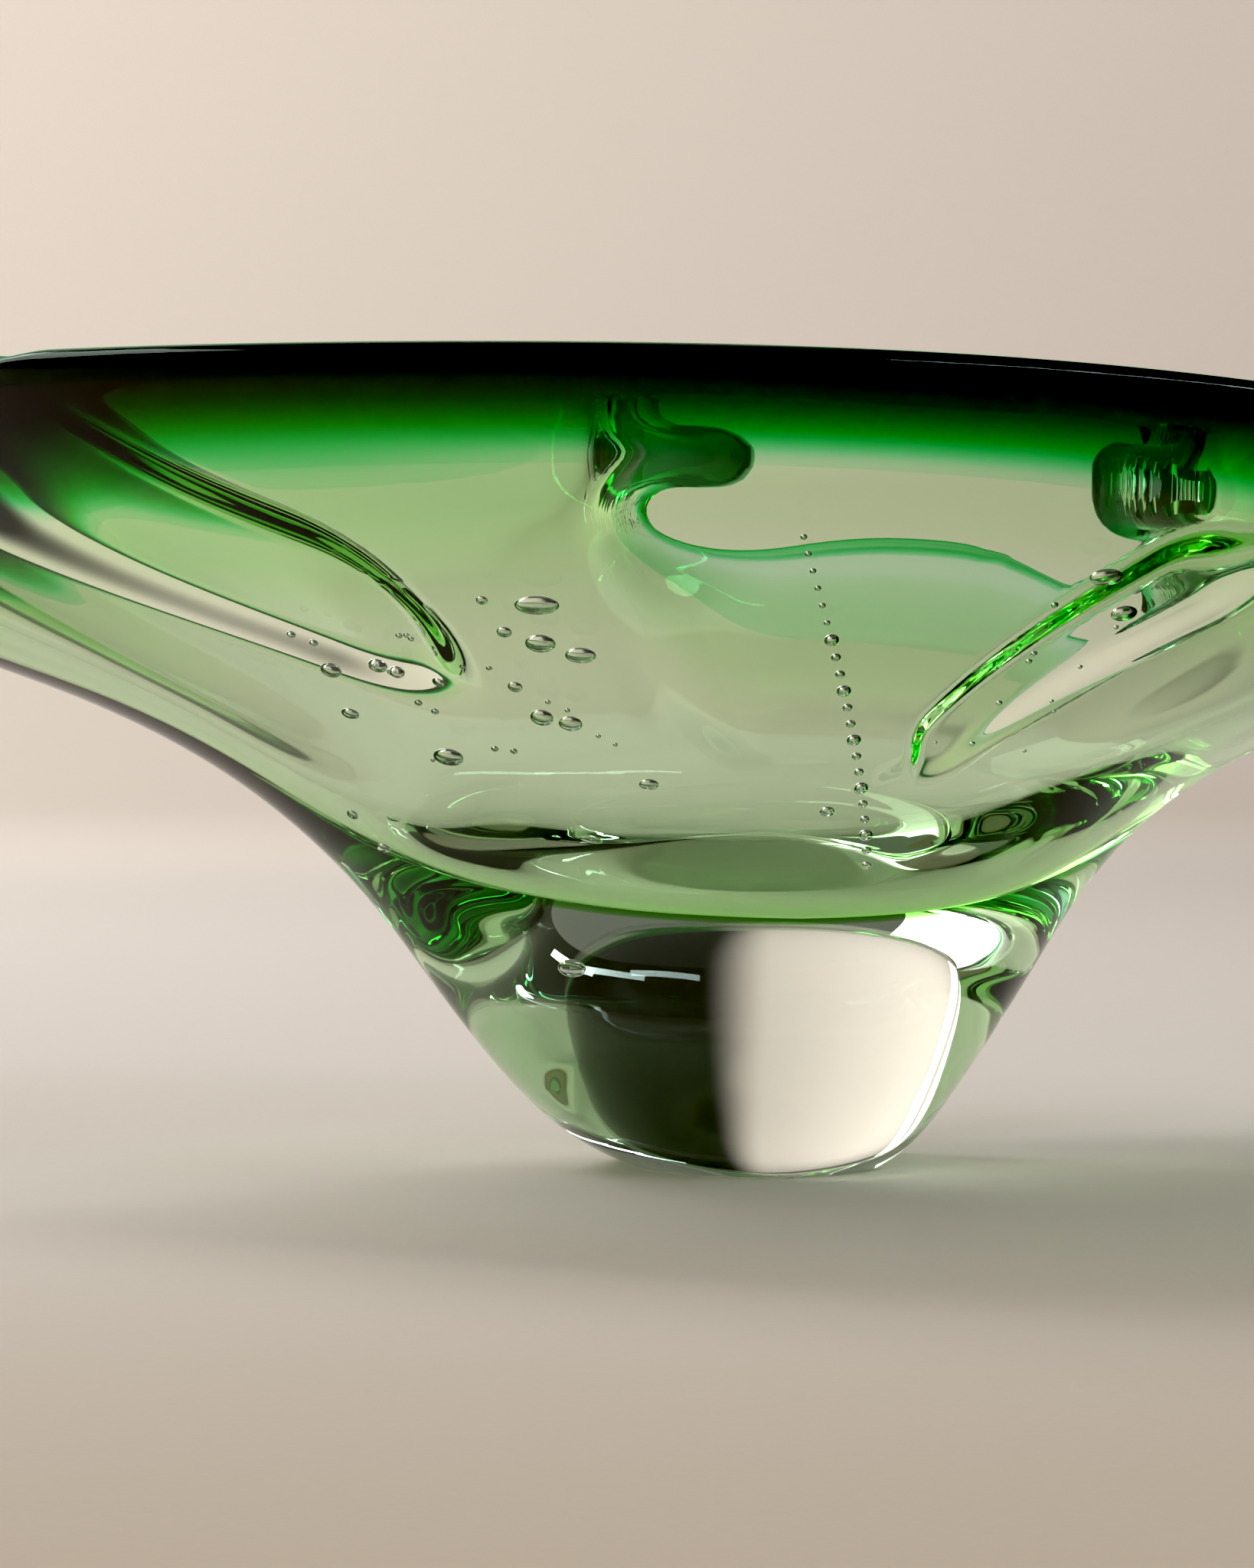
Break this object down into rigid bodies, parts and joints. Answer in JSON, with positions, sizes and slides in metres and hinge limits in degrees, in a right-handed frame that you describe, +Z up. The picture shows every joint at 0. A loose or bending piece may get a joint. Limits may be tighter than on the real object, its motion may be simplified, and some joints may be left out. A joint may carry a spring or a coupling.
{
  "type": "art glass bowl",
  "caption": "Free-form cased glass bowl with a solid clear foot, a green-lined hollow, drawn-out wings and a dark green rounded rim.",
  "frame": {"origin": "centre of the flat resting face under the foot", "axes": "+X along the length towards the shorter wing, +Y across the bowl towards the side where the rim dips, +Z up"},
  "size_m": [0.2814, 0.1646, 0.0988],
  "materials": {
    "clear_glass": "fire-polished, clear",
    "pale_green_glass": "clear, pale yellow-green",
    "emerald_glass": "fire-polished, deep emerald, almost black where it is thick",
    "air_bubble": "smooth trapped air"
  },
  "bodies": {
    "root": {"clear_casing": "clear_glass", "green_layer": "pale_green_glass", "emerald_rim": "emerald_glass", "bubble_string": "air_bubble", "bubble_cluster": "air_bubble", "large_bubbles": "air_bubble", "seed_bubbles": "air_bubble"}
  },
  "joints": []
}
